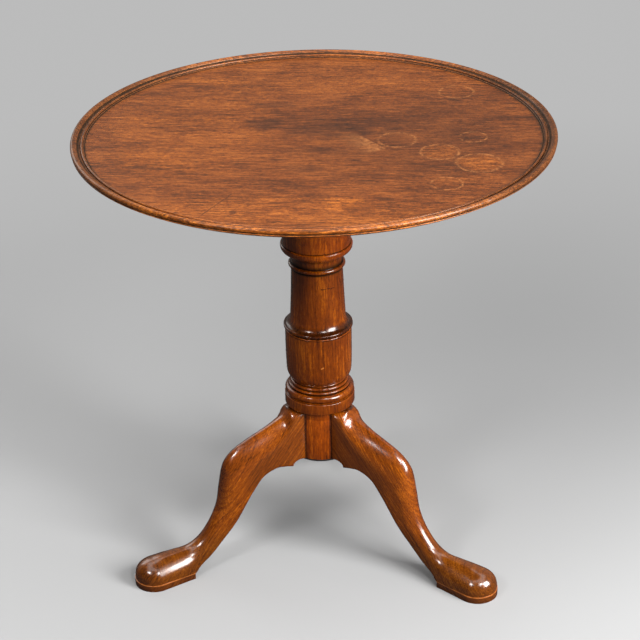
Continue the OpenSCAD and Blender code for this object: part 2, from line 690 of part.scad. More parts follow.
// Bow spring: a bent strip between the plate and the bolt; its rubbing holds the bolt where it is put
module catch_spring() {
    high = case_top - spring_touch;
    low = bolt_low + bolt_h + spring_touch;
    rise = high - low - spring_t;
    bend_r = (pow(spring_l / 2, 2) + rise * rise) / (2 * rise);
    color(iron) translate([0, spring_y, low]) rotate([90, 0, 90]) translate([0, 0, -spring_w / 2])
        linear_extrude(spring_w) intersection() {
            difference() {
                translate([0, bend_r + spring_t]) circle(r = bend_r + spring_t, $fn = 180);
                translate([0, bend_r + spring_t]) circle(r = bend_r, $fn = 180);
            }
            translate([-spring_l / 2, 0]) square([spring_l, high - low]);
        }
}

tabletop();
bearer(-1);  // bearer_left
bearer(1);  // bearer_right
bearer_screws(-1);  // bearer_screws_left
bearer_screws(1);  // bearer_screws_right
catch_plate();
catch_case();
catch_bolt();
catch_knob();
catch_spring();
catch_screws();
block();
tenon_wedge();
keeper_plate();
keeper_screws();
column();
leg_rear();
leg_front_left();
leg_front_right();
brace_plate();
brace_screws();
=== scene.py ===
# %% [markdown]
# # A tilt-top supper table in mahogany
# This lesson dresses a table whose working parts are already drawn to size: a dished round top, the block
# it tips on, a turned column and three cabriole legs. The drawing gives the sizes and the joints. Here each
# piece that shows gets its real surface: soft arrises, turned mouldings, polish, grain, wear and marks.
# Everything is in metres, with the floor at zero, the rear leg towards +Y and the grain of the top along X.

# %% Load the table
from collections import namedtuple
from functools import partial
from math import acos, asin, atan2, cos, degrees, hypot, pi, radians, sin, sqrt, tau

import bmesh
import bpy
from mathutils import Matrix, Vector


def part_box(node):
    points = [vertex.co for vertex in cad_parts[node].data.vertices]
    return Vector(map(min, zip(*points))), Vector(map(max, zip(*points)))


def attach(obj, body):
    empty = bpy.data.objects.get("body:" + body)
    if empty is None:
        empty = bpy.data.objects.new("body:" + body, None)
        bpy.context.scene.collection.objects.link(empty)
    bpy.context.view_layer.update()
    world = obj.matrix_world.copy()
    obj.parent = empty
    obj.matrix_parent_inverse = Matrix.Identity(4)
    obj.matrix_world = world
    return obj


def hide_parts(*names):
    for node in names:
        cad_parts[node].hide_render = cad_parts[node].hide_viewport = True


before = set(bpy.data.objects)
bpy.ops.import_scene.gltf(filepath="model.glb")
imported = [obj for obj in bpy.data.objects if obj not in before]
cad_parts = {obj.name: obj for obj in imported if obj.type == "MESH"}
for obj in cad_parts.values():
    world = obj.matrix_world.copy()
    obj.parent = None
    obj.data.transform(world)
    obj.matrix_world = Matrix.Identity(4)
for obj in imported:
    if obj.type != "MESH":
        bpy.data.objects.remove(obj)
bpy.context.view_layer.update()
scene = bpy.context.scene
mm = 0.001

# %% [markdown]
# ## The camera
# The photograph looks down on the table from a standing eye, a little right of the front. A long lens keeps
# the top a clean ellipse. The camera could be aimed with a constraint, but three plain turns say just how
# it stands: round the room, down to the table, and the slight lean of a hand-levelled tripod.


# %% Camera
def placed(name, data):
    """A new object in the scene, made of this data"""
    made = bpy.data.objects.new(name, data)
    scene.collection.objects.link(made)
    return made


camera_place = Vector((253.9, -2534.9, 1725.3)) * mm
camera_turn, camera_drop, camera_lean = 5.654, 27.475, -1.308
lens_length, film_width = 103.3, 36

camera = placed("camera", bpy.data.cameras.new("camera"))
camera.data.lens, camera.data.sensor_width = lens_length, film_width
turns = [(camera_turn, "Z"), (90 - camera_drop, "X"), (camera_lean, "Z")]
camera.matrix_world = Matrix.Translation(camera_place)
for angle, axis in turns:
    camera.matrix_world = camera.matrix_world @ Matrix.Rotation(radians(angle), 4, axis)
scene.camera = camera
print("camera to table in m:", round(camera_place.length, 3))

# %% [markdown]
# ## Turning on a lathe
# Most of the table is turned. A turner works to an outline, so each turned piece here is a short outline
# of radius and height, spun once round. Round stretches of an outline are bows: parts of a circle or
# an ellipse, given by their centre, their two radii and the angles where they start and end.


# %% Outline helpers
def bow(r, z, wide, high, start, end, steps):
    """Points on an ellipse about r, z, from one angle to another"""
    turns = [radians(start + (end - start) * step / steps) for step in range(steps + 1)]
    return [(r + wide * cos(turn), z + high * sin(turn)) for turn in turns]


def turned(shape, outline, steps):
    """Spin an outline of radius and height pairs, in mm, about the upright axis"""
    points = [shape.verts.new((r * mm, 0, z * mm)) for r, z in outline]
    lines = [shape.edges.new(pair) for pair in zip(points, points[1:])]
    bmesh.ops.spin(shape, geom=points + lines, cent=(0, 0, 0), axis=(0, 0, 1), angle=tau,
                   steps=steps, use_merge=True)


# %% [markdown]
# ## Finishing a mesh
# Old furniture has no knife-sharp edges, and every edge tells its age: corners that hands rub go pale, and
# dirt stays in the hollows, where the colour is also darkened as painted shade. So each mesh is welded, its
# sharp edges are bevelled, and each point keeps how sharply the surface bends there, for the polish to read
# later.
# That is the sum of each edge's fold times its length, over the area around the point, so it doesn't depend
# on how fine the mesh is.


# %% Finishing helpers
crisp_angle = radians(28)
wear_reach = 1.6 * mm


def ease_edges(shape, width):
    """Bevel every sharp edge by a width in mm, as a maker takes off an arris"""
    sharp = [edge for edge in shape.edges if edge.calc_face_angle(0) > crisp_angle]
    bmesh.ops.bevel(shape, geom=sharp, offset=width * mm, offset_type="OFFSET", segments=2, profile=0.5,
                    affect="EDGES", material=-1, clamp_overlap=True)


def note_bends(shape, blurs):
    """Store on each point how sharply the surface bends: 1 on a sharp ridge, -1 in a sharp hollow"""
    layer, bends = shape.verts.layers.float.new("bend"), {}
    for point in shape.verts:
        area = sum(face.calc_area() / len(face.verts) for face in point.link_faces)
        folds = sum(edge.calc_face_angle_signed(0) * edge.calc_length() for edge in point.link_edges)
        bends[point] = max(-1, min(1, wear_reach * folds / max(4 * area, 1e-12)))
    for _ in range(blurs):
        near = {point: [edge.other_vert(point) for edge in point.link_edges] for point in shape.verts}
        bends = {point: (bends[point] + sum(bends[other] for other in near[point])) / (1 + len(near[point]))
                 for point in shape.verts}
    for point, bend in bends.items():
        point[layer] = bend


def finished(shape, name, body, stands_for, arris=0.0, blurs=1):
    """Weld and ease a shape, mark its crisp edges, and hang it on its body in place of CAD nodes"""
    bmesh.ops.remove_doubles(shape, verts=shape.verts, dist=0.01 * mm)
    bmesh.ops.recalc_face_normals(shape, faces=shape.faces)
    if arris:
        ease_edges(shape, arris)
    note_bends(shape, blurs)
    for face in shape.faces:
        face.smooth = True
    for edge in shape.edges:
        edge.smooth = edge.calc_face_angle(0) < crisp_angle
    mesh = bpy.data.meshes.new(name)
    shape.to_mesh(mesh)
    shape.free()
    piece = placed(name, mesh)
    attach(piece, body)
    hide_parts(*stands_for)
    print(name, "faces:", len(mesh.polygons))
    return piece


# %% [markdown]
# ## Dents and chips
# A fall or a knock pushes wood in. A dent is a soft hollow: points near its middle move the full depth,
# and the move fades out at its rim. Moving only inwards keeps the piece inside its drawn size.


# %% Dent helper
def dent(shape, place, size, depth, inward):
    """Push points within a size in mm of a place, by up to a depth in mm, along a direction"""
    for point in shape.verts:
        near = 1 - (point.co - place).length / (size * mm)
        if near > 0:
            point.co += inward * depth * mm * near * near * (3 - 2 * near)


def round_the_axis(radius, angle, height):
    """A place in metres from a radius in mm, an angle in degrees and a height in mm"""
    turn = radians(angle)
    return Vector((radius * cos(turn), radius * sin(turn), height)) * mm


# %% [markdown]
# ## The top
# One wide board, turned so that its rim stands up round a sunk field. From the outside in the rim has
# a round nosing, a hollow, a small bead between two quirks, and a short curve down to the field. Below the
# nosing a narrow band meets a wide flat bevel, which makes a stout board look thin. The top is spun in fine
# steps, because its edge is the longest clean curve in the picture.

# %% Top outline
top_low, top_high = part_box("tabletop")
rim_r = min(-top_low.x, top_high.x) / mm
rim_z, under_z = top_high.z / mm, top_low.z / mm
dish_depth, rim_width, nosing_r = 8, 24, 4
edge_in, bevel_width, band_height = 1, 22, 1.5
band_z = rim_z - 2 * nosing_r - band_height
field_z = rim_z - dish_depth
field_r = rim_r - rim_width
print("top radius", round(rim_r, 2), "rim at", round(rim_z, 2), "field at", round(field_z, 2))

bevel_rise, bevel_swell = band_z - under_z, 1.3
bevel_curve = [(rim_r - edge_in - bevel_width * (1 - share), under_z + bevel_rise * share ** bevel_swell)
               for share in (step / 8 for step in range(9))]
nosing_curve = bow(rim_r - nosing_r, rim_z - nosing_r, nosing_r, nosing_r, -50, 118, 14)
hollow_curve = bow(rim_r - 13.9, rim_z - 1.2, 5, 4.5, -14, -90, 7)
bead_curve = bow(rim_r - 16.9, rim_z - 5.1, 1.9, 1.8, -40, 205, 9)
drop_curve = bow(rim_r - 24, rim_z - 6.6, 4.1, 1.4, -4, -90, 5)
field_shares = (0.97, 0.9, 0.8, 0.7, 0.6, 0.5, 0.4, 0.3, 0.2, 0.1, 0)
field_rings = [(field_r * share, field_z) for share in field_shares]
top_outline = [
    (0, under_z), (rim_r * 0.5, under_z), *bevel_curve,
    (rim_r - edge_in, rim_z - 2 * nosing_r - 0.5), (rim_r - 1.9, rim_z - 2 * nosing_r), *nosing_curve,
    *hollow_curve, (rim_r - 14.6, rim_z - 6.2), *bead_curve, (rim_r - 19.4, rim_z - 6.5),
    *drop_curve, *field_rings]

# %% [markdown]
# The field of an old top is never quite flat: it has shrunk across the grain and shows the turner's gouge.
# The rim has been knocked against chairs. The knocks in the photograph are on its right-hand front. Each is
# listed by its angle round the rim in degrees, its size and its depth.

# %% Top board
warp_height = 0.35
rim_knocks = [(316.2, 4.5, 1.1), (328, 4, 0.8), (334.9, 6, 1.3), (299, 3.5, 0.5), (262, 4, 0.4),
              (205, 5, 0.7), (171, 4, 0.5), (118, 5, 0.7), (52, 4, 0.6), (14, 5, 0.8)]

top_shape = bmesh.new()
turned(top_shape, top_outline, 540)
for point in top_shape.verts:
    reach = hypot(point.co.x, point.co.y) / (field_r * mm)
    if point.co.z > (field_z - 0.1) * mm and reach < 1:
        wave = sin(point.co.x * 9 + 1) * cos(point.co.y * 13) - 1
        point.co.z += warp_height * mm * wave * (1 - reach ** 4) / 2
for angle, size, depth in rim_knocks:
    place = round_the_axis(rim_r - 0.3, angle, rim_z - 2.5)
    dent(top_shape, place, size, depth, Vector((-place.x, -place.y, -0.2)).normalized())
top_board = finished(top_shape, "dished_top", "top", ["tabletop"], arris=0.25)

# %% [markdown]
# ## The column
# The column is one turning. Its outline is read upwards: a plain hub between the legs, a drum, a large round
# moulding with three beads above it, a cup with straight sides, a thin ring with a flare up into the shaft,
# a tapering shaft, a thin ring and a hollow neck, a swelling lip, and the drum that carries the block.

# %% Column outline
column_low, column_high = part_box("column")
hub_z, column_top = column_low.z / mm, column_high.z / mm
block_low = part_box("block")[0].z / mm
hub_r, drum_z, drum_r, drum_h = 45, 260, 55.4, 17.4
torus_z, torus_r, torus_h = 278.6, 54.6, 12
low_bead_z, low_bead_r, mid_bead_z, mid_bead_r = 292.2, 49.2, 297, 46.4
top_bead_z, top_bead_r = 303.5, 44.2
cup_z, cup_r, ring_low, ring_z, ring_r, flare_h = 307.3, 52.2, 394.6, 399, 54.2, 15
shaft_low_r, shaft_top_r, shaft_z, neck_ring_r, neck_ring_h = 43.2, 40, 499, 44.2, 5.8
neck_foot, neck_r, fillet_r, neck_z = 504.8, 39.6, 45.2, 523.5
lip_z, lip_r, head_r, tenon_r = 537, 55.8, 53, 25


def bead(r, z, height, steps):
    """A half-round bead, out to a radius and up from a height"""
    return bow(r - height / 2, z + height / 2, height / 2, height / 2, -85, 85, steps)


drum_top = drum_z + drum_h
base_part = [
    (0, drum_z), (drum_r - 0.7, drum_z), (drum_r, drum_z + 0.7), (drum_r, drum_top - 0.8),
    (drum_r - 0.8, drum_top), (drum_r - 2.1, drum_top), (drum_r - 2.1, torus_z - 0.3)]
torus_part = [
    *bow(torus_r - torus_h / 2, torus_z + torus_h / 2, torus_h / 2, torus_h / 2, -75, 90, 16),
    (low_bead_r - 1.9, torus_z + torus_h + 0.5), *bead(low_bead_r, low_bead_z, 3.8, 9)]
beads_part = [
    (mid_bead_r - 2.4, mid_bead_z - 0.5), *bead(mid_bead_r, mid_bead_z, 4.9, 10),
    (top_bead_r - 2.3, top_bead_z - 1), (top_bead_r - 2.3, top_bead_z),
    *bead(top_bead_r, top_bead_z, 2.6, 7), (top_bead_r - 2.3, cup_z - 1), (top_bead_r - 2.3, cup_z)]
cup_part = [
    *bow(cup_r - 7.5, cup_z + 16, 6.6, 15.5, -100, -10, 12),
    (cup_r - 0.5, cup_z + 22), (cup_r - 0.1, cup_z + 41), (cup_r, ring_low - 8), (cup_r, ring_low - 5.8)]
ring_part = [
    *bow(cup_r - 0.8, ring_low - 4, 1, 1.1, -40, 90, 6), (cup_r - 2.2, ring_low - 2.6),
    (cup_r - 2.2, ring_low), (ring_r - 0.7, ring_low), (ring_r, ring_low + 0.7), (ring_r, ring_z - 1.6),
    *bow(ring_r - 1.4, ring_z - 1.4, 1.4, 1.4, 10, 80, 6),
    *bow(ring_r - 1.8, ring_z + flare_h, ring_r - 1.8 - shaft_low_r, flare_h, -90, -178, 16)]
shaft_part = [
    (shaft_low_r - 0.1, ring_z + flare_h + 5),
    ((shaft_low_r + shaft_top_r) / 2, (ring_z + shaft_z) / 2),
    (shaft_top_r, shaft_z - 6), (shaft_top_r + 0.1, shaft_z - 1), (shaft_top_r + 0.8, shaft_z)]
neck_part = [
    *bead(neck_ring_r, shaft_z, neck_ring_h, 12), (neck_r + 0.2, neck_foot), (neck_r, neck_foot + 1),
    *bow(fillet_r - 0.7, neck_foot + 7.8, fillet_r - 0.7 - neck_r, 7.8, 176, 90, 9),
    (fillet_r, neck_z - 2.6), (fillet_r, neck_z - 0.3)]
capital_part = [
    (fillet_r + 0.7, neck_z), *bow(lip_r - 9.6, lip_z - 3.4, 9.6, 10.1, -82, 0, 12),
    *bow(lip_r - 2.3, lip_z - 2.3, 2.3, 2.3, 10, 90, 7)]
head_part = [
    (head_r + 0.2, lip_z - 0.6), (head_r, lip_z - 0.3), (head_r, lip_z + 1.5), (head_r, lip_z + 4),
    (head_r, block_low - 16), (head_r, block_low - 14), (head_r - 1, block_low - 13),
    (head_r - 1, block_low - 11), (head_r + 1, block_low - 10.2),
    *bow(head_r + 0.6, block_low - 6.8, 3.2, 3.2, -70, 70, 8),
    (head_r + 1, block_low - 3.2), (head_r + 1, block_low), (0, block_low)]
shaft_parts = ring_part + shaft_part + neck_part
column_outline = base_part + torus_part + beads_part + cup_part + shaft_parts + capital_part + head_part
print("column points:", len(column_outline), "from", round(hub_z, 1), "to", round(column_top, 1))

# %% [markdown]
# The hub is not round where the legs meet it: it has three flats, each with a dovetail socket cut up from
# below. Its plan is drawn once as a line of points round the three legs, and pushed up into a solid. The top
# of the hub is solid, so a second plan without sockets closes it.

# %% Hub
leg_angles = {"rear": 90, "front_left": 210, "front_right": 330}
leg_width, tail_neck, tail_root, tail_depth, tail_height, socket_gap = 50, 7, 10.5, 14, 72, 0.1
seat_r = sqrt(hub_r ** 2 - (leg_width / 2) ** 2)
seat_half_angle = degrees(asin(leg_width / 2 / hub_r))


def plan_point(out, side, angle):
    """A point in plan, in mm: out along a leg and to its side"""
    turn = radians(angle)
    return (out * cos(turn) - side * sin(turn), out * sin(turn) + side * cos(turn))


def hub_plan(with_sockets):
    """The plan of the hub, leg by leg"""
    points = []
    for angle in leg_angles.values():
        points.append(plan_point(seat_r, -leg_width / 2, angle))
        if with_sockets:
            neck, root = tail_neck + socket_gap, tail_root + socket_gap
            deep = seat_r - tail_depth - socket_gap
            points += [plan_point(out, side, angle) for out, side in
                       ((seat_r, -neck), (deep, -root), (deep, root), (seat_r, neck))]
        points += bow(0, 0, hub_r, hub_r, angle + seat_half_angle, angle + 120 - seat_half_angle, 24)[:-1]
    return points


def pushed_up(shape, plan, low, high):
    """A plan, in mm, pushed up into a solid from one height to another"""
    face = shape.faces.new([shape.verts.new((x * mm, y * mm, low * mm)) for x, y in plan])
    grown = bmesh.ops.extrude_face_region(shape, geom=[face])["geom"]
    raised = [part for part in grown if isinstance(part, bmesh.types.BMVert)]
    bmesh.ops.translate(shape, verts=raised, vec=(0, 0, (high - low) * mm))


# %% [markdown]
# The tenon at the top is split by a kerf, which the wedge fills, so it is two half rounds.
# The cup has a bruise at the front, and the big round moulding has been chipped on its left by years of
# knees and brooms. They are real dents, so they catch light from any side. Each is listed by its radius,
# its angle, its height, its size and its depth.

# %% Column piece
column_knocks = [(cup_r, -79, 342, 3.5, 1.2), (torus_r - 1, -119, 288, 3.5, 0.9),
                 (torus_r - 1, -127, 287, 3, 0.7), (torus_r, -98, 283, 4, 0.6), (torus_r, -92, 282, 3, 0.5),
                 (torus_r, 40, 286, 4, 0.8), (drum_r, 150, 270, 4, 0.6), (cup_r, 70, 362, 4, 0.5),
                 (ring_r, 12, 398, 3, 0.6)]
seam = 0.02
kerf_angle = degrees(asin(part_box("tenon_wedge")[1].y / mm / tenon_r))

column_shape = bmesh.new()
turned(column_shape, column_outline, 200)
for radius, angle, height, size, depth in column_knocks:
    place = round_the_axis(radius, angle, height)
    dent(column_shape, place, size, depth, Vector((-place.x, -place.y, 0)).normalized())
pushed_up(column_shape, hub_plan(True), hub_z, hub_z + tail_height)
pushed_up(column_shape, hub_plan(False), hub_z + tail_height + seam, drum_z)
for half_turn in (0, 180):
    half_round = bow(0, 0, tenon_r, tenon_r, half_turn + kerf_angle, half_turn + 180 - kerf_angle, 40)
    pushed_up(column_shape, half_round, block_low, column_top)
column_piece = finished(column_shape, "turned_column", "stand", ["column"],
                        arris=0.2, blurs=2)

# %% [markdown]
# ## The cabriole legs
# A cabriole leg is sawn from a thick plank to a double curve, then shaved round with a spokeshave. Its side
# stays flat by the column and rounds over towards the knee, and the foot swells again over a thin sole pad.
# The leg could be sculpted, but a boatbuilder's way is surer: stations down the leg, each a section between
# an upper and a lower edge. A flat grid of points is wrapped round the stations like paper, so one operator
# gives every face. The crown of each section is a quarter round raised to a power, and a larger power at
# the knee draws it up to a soft ridge.

# %% Leg stations
leg_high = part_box("leg_rear")[1]
toe_reach, leg_top = leg_high.y / mm, leg_high.z / mm
foot_length, foot_height, pad_height, pad_ledge = 92, 46, 11, 0.9
heel_half, toe_r = 24.6, 32.5
heel_x, toe_x = toe_reach - foot_length, toe_reach - toe_r

# each station: upper run and height, lower run and height, in percent; width, shoulder and rounding shares
shank_stations = [
    (0, 100, 0, 66.3, 1, 0.93, 0.02), (6.3, 100, 5.3, 66.3, 1, 0.84, 0.03),
    (9.3, 100, 7.8, 65.8, 1, 0.77, 0.03), (10.6, 99.6, 9.8, 64.8, 1, 0.74, 0.04),
    (11.5, 98.6, 11, 63.6, 1, 0.73, 0.05), (12.2, 96.6, 11.3, 62.4, 1, 0.75, 0.06),
    (14.3, 94.5, 14.3, 62.9, 1, 0.7, 0.06), (17.3, 93, 18.3, 63.5, 1, 0.6, 0.07),
    (29.1, 88.8, 26.4, 63.7, 0.98, 0.41, 0.09),
    (44.6, 83.9, 37.4, 59.7, 0.96, 0.36, 0.12), (57.6, 78.9, 46.4, 50.4, 0.93, 0.4, 0.16),
    (66.5, 71, 52.4, 42.4, 0.89, 0.48, 0.2), (70.6, 57.8, 58.4, 33.9, 0.82, 0.48, 0.26),
    (73.9, 43.9, 63.9, 27.3, 0.73, 0.48, 0.32), (80.7, 32.6, 72.4, 19.8, 0.67, 0.48, 0.34),
    (89.8, 23.5, 83, 11.7, 0.69, 0.48, 0.3), (100.4, 18.5, 93.5, 6.6, 0.8, 0.42, 0.22)]
# each foot station: upper run, height, lower run and shoulder, as shares of the foot
foot_stations = [(0.27, 0.99, 0.02, 0.36), (0.52, 0.955, 0.34, 0.3), (0.665, 0.905, 0.66, 0.25)]
foot_soft, toe_shoulder, toe_roundness = 0.08, 0.25, 0.62
toe_turns = (10, 18, 26, 34, 42, 50, 57, 64, 70, 76, 81, 85, 88, 89.6)
straight_stations = 6
sole_top, round_crown, ridged_crown, knee_end = pad_height - 2.5, 1.04, 1.16, 75


def pad_half(x):
    """Half the width of the sole pad at a distance along the leg"""
    if x < toe_x:
        return heel_half + (toe_r - heel_half) * (x - heel_x) / (toe_x - heel_x)
    return sqrt(max(0, toe_r ** 2 - (x - toe_x) ** 2))


def shank_section(up, rise, low, drop, width, shoulder, soft):
    """A shank station in mm"""
    run, knee_near = heel_x - seat_r, sin(pi * min(1, up / knee_end))
    return (seat_r + run * up / 100, leg_top * rise / 100, seat_r + run * low / 100, leg_top * drop / 100,
            leg_width / 2 * width, shoulder, soft, round_crown + (ridged_crown - round_crown) * knee_near)


def foot_section(up, rise, low, shoulder):
    """A foot station in mm"""
    half = pad_half(heel_x + foot_length * (up + low) / 2) - pad_ledge
    return (heel_x + foot_length * up, foot_height * rise, heel_x + foot_length * low, sole_top, half,
            shoulder, foot_soft, round_crown)


def toe_section(turn):
    """A station of the round toe, by its angle from the side towards the tip"""
    across, along = cos(radians(turn)), sin(radians(turn))
    x = toe_x + (toe_r - pad_ledge) * along
    high = pad_height + (foot_height * 0.9 - pad_height) * across ** toe_roundness
    return (x, high, x, sole_top, (toe_r - pad_ledge) * across, toe_shoulder, foot_soft, round_crown)


leg_sections = [shank_section(*row) for row in shank_stations]
leg_sections += [foot_section(*row) for row in foot_stations]
print("leg stations:", len(leg_sections), "toe at", round(toe_reach, 1))

# %% [markdown]
# Between the stations a smooth curve runs through each value, and along the toe the stations follow a
# quarter turn. Round each station goes an outline: softened lower edges, flat sides, and a full crown.


# %% Leg surface
def between(before, start, end, after, share):
    """A smooth curve through start and end, steered by the values before and after"""
    return 0.5 * (2 * start + (end - before) * share
                  + (2 * before - 5 * start + 4 * end - after) * share ** 2
                  + (3 * start - before - 3 * end + after) * share ** 3)


def all_sections(fine):
    """Every section from the hub to the tip of the toe"""
    last = len(leg_sections) - 1
    rows = leg_sections[:straight_stations]
    for i in range(straight_stations, last):
        around = [leg_sections[min(max(j, straight_stations), last)] for j in range(i - 1, i + 3)]
        rows += [tuple(between(*values, step / fine) for values in zip(*around)) for step in range(fine)]
    rows.append(leg_sections[last])
    return rows + [toe_section(turn) for turn in toe_turns]


edge_steps, side_steps, crown_steps = 4, 3, 16


def section_outline(half, shoulder, soft, crown):
    """Half the outline of a section: across, and up as a share of its height"""
    turns = [radians(-90 + 90 * step / edge_steps) for step in range(edge_steps + 1)]
    side = [(half * (1 - soft + soft * cos(turn)), soft * shoulder * (1 + sin(turn)))
            for turn in turns]
    low = side[-1][1]
    side += [(half, low + (shoulder - low) * step / side_steps) for step in range(1, side_steps)]
    turns = [radians(90 * step / crown_steps) for step in range(crown_steps + 1)]
    arch = [(cos(turn) ** crown, sin(turn) ** crown) for turn in turns]
    return side + [(half * across, shoulder + (1 - shoulder) * up) for across, up in arch]


def leg_surface(shape, sections):
    """Wrap a grid round the sections and close its two ends"""
    outlines = []
    for x_up, z_up, x_low, z_low, half, shoulder, soft, crown in sections:
        right = section_outline(half, shoulder, soft, crown)
        whole = right + [(-across, up) for across, up in reversed(right[:-1])]
        outlines.append([Vector((x_low + (x_up - x_low) * up, across, z_low + (z_up - z_low) * up)) * mm
                         for across, up in whole])
    rows, columns = len(outlines) - 1, len(outlines[0])
    grid = bmesh.ops.create_grid(shape, x_segments=columns, y_segments=rows, size=1)["verts"]
    for point in grid:
        column, row = round((point.co.x + 1) / 2 * columns), round((point.co.y + 1) / 2 * rows)
        point.co = outlines[row][column % columns]
    bmesh.ops.remove_doubles(shape, verts=grid, dist=0.001 * mm)
    bmesh.ops.holes_fill(shape, edges=shape.edges, sides=0)


# %% [markdown]
# The sole pad is a plan pushed up, with its toe a half circle that the sides run into smoothly. Its top edge
# stands a hair proud of the foot, and light catches that line all round. The tongue of the dovetail is on
# the leg too, though it is hidden once the leg is driven home.

# %% Leg pieces
heel_back = heel_x - toe_x
touch = degrees(atan2(heel_half, heel_back) - acos(toe_r / hypot(heel_back, heel_half)))
sole_plan = [(heel_x, -heel_half), *bow(toe_x, 0, toe_r, toe_r, -touch, touch, 48), (heel_x, heel_half)]
tongue_plan = [(seat_r + 1, -tail_neck), (seat_r + 1, tail_neck), (seat_r, tail_neck),
               (seat_r - tail_depth, tail_root), (seat_r - tail_depth, -tail_root), (seat_r, -tail_neck)]

leg_pieces = {}
for side, angle in leg_angles.items():
    round_leg = Matrix.Rotation(radians(angle), 3, "Z")
    leg_shape = bmesh.new()
    leg_surface(leg_shape, all_sections(6))
    pushed_up(leg_shape, sole_plan, 0, pad_height)
    pushed_up(leg_shape, tongue_plan, hub_z, hub_z + tail_height)
    bmesh.ops.rotate(leg_shape, verts=leg_shape.verts, cent=(0, 0, 0), matrix=round_leg)
    leg_pieces[side] = finished(leg_shape, "cabriole_leg_" + side, "stand", ["leg_" + side],
                                arris=0.35)

# %% [markdown]
# ## The parts under the top
# The block, the bearers and the brass and iron fittings are sawn, planed or filed to plain shapes. Their
# drawn solids only lack the eased edge. So a copy of each is welded, flat neighbours are joined, and the
# sharp edges are taken off as a plane or a file would.


# %% Pieces with eased edges
def eased(node, name, body, slot, arris):
    """A copy of a drawn solid with its edges eased by a width in mm"""
    shape = bmesh.new()
    shape.from_mesh(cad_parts[node].data)
    bmesh.ops.remove_doubles(shape, verts=shape.verts, dist=0.005 * mm)
    bmesh.ops.dissolve_limit(shape, angle_limit=radians(0.5), verts=shape.verts, edges=shape.edges)
    return finished(shape, name, body, [node], arris)


eased_rows = [("block", "pivot_block", "stand", "mahogany_under", 0.8),
              ("bearer_left", "left_bearer", "top", "mahogany_under", 0.8),
              ("bearer_right", "right_bearer", "top", "mahogany_under", 0.8),
              ("catch_plate", "brass_catch_plate", "top", "brass", 0.4),
              ("catch_case", "brass_catch_case", "top", "brass", 0.5),
              ("catch_bolt", "brass_bolt", "bolt", "brass", 0.4),
              ("keeper_plate", "brass_keeper", "stand", "brass", 0.25),
              ("brace_plate", "iron_brace", "stand", "iron", 0.4)]
eased_pieces = [(eased(*row), row[3]) for row in eased_rows]

# %% [markdown]
# ## Shader maths as Python
# A finish in Blender is a net of nodes, and long nets are hard to read. Here one small class wraps a node's
# socket, so that noise * 0.5 + 0.2 adds the Math nodes by itself. Any other node comes from one method.


# %% Wire class
class Wire:
    """One socket of a node net. Arithmetic adds Math nodes, and node() adds any other node"""

    def __init__(self, socket):
        self.socket = socket

    def node(self, kind, settings, inputs, output=0):
        made = self.socket.id_data.nodes.new("ShaderNode" + kind)
        for name, value in settings.items():
            setattr(made, name, value)
        plug(made, inputs)
        return Wire(made.outputs[output])

    def maths(self, operation, *values):
        return self.node("Math", {"operation": operation}, dict(enumerate(values or (self,))))

    def vectors(self, operation, other=(0, 0, 0), output=0):
        """Maths on places and colours: output 0 is a vector again, output 1 a number"""
        return self.node("VectorMath", {"operation": operation}, {0: self, 1: other}, output)

    def __add__(self, other):
        return self.maths("ADD", self, other)

    def __sub__(self, other):
        return self.maths("SUBTRACT", self, other)

    def __mul__(self, other):
        return self.maths("MULTIPLY", self, other)

    def __truediv__(self, other):
        return self.maths("DIVIDE", self, other)

    def __rsub__(self, other):
        return self.maths("SUBTRACT", other, self)

    __radd__, __rmul__ = __add__, __mul__

    def rise(self, low, high):
        """0 below low, 1 above high, and a smooth step between"""
        return self.node("MapRange", {"interpolation_type": "SMOOTHSTEP"},
                         {"Value": self, "From Min": low, "From Max": high})

    def tint(self, start, end):
        """The colour start where this is 0 and end where it is 1"""
        return self.node("Mix", {"data_type": "RGBA"}, {0: self, 6: start, 7: end}, output=2)


def plug(node, inputs):
    """Link wires, or set plain values, on a node's inputs"""
    for name, value in inputs.items():
        if isinstance(value, Wire):
            node.id_data.links.new(value.socket, node.inputs[name])
        else:
            node.inputs[name].default_value = value


# %% [markdown]
# Colours are written as they look on screen, and turned into the linear light that the shader works in.
# Every finish starts the same way, with one Principled shader and the piece's own coordinates. It reads the
# bends stored on the mesh, and its last step turns small heights into a bump.


# %% Starting a finish
def colour(code):
    """A screen colour such as a65a28 as linear red, green, blue and alpha"""
    parts = [int(code[i:i + 2], 16) / 255 for i in (0, 2, 4)]
    return tuple(part / 12.92 if part < 0.04 else ((part + 0.055) / 1.055) ** 2.4 for part in parts) + (1.0,)


def new_finish(name):
    """A material, its shader node, and a wire that carries the piece's coordinates in metres"""
    finish = bpy.data.materials.new(name)
    finish.use_nodes = True
    net = finish.node_tree
    net.nodes.clear()
    shader = net.nodes.new("ShaderNodeBsdfPrincipled")
    net.links.new(shader.outputs[0], net.nodes.new("ShaderNodeOutputMaterial").inputs[0])
    return finish, shader, Wire(net.nodes.new("ShaderNodeTexCoord").outputs["Object"])


def split(place):
    """The x, y and z of a place, as three wires"""
    return [Wire(socket) for socket in place.node("SeparateXYZ", {}, {0: place}).socket.node.outputs]


def stored_bend(place):
    """How sharply the mesh bends, as stored on its points"""
    return place.node("Attribute", {"attribute_name": "bend"}, {}, output=2)


def bumped(height):
    """Heights in metres as a bump of the surface"""
    return height.node("Bump", {}, {"Height": height, "Strength": 1.0, "Distance": 1.0})


def feed(shader, **inputs):
    """Plug a shader's inputs, with _ for the spaces in their names"""
    plug(shader, {name.replace("_", " "): value for name, value in inputs.items()})


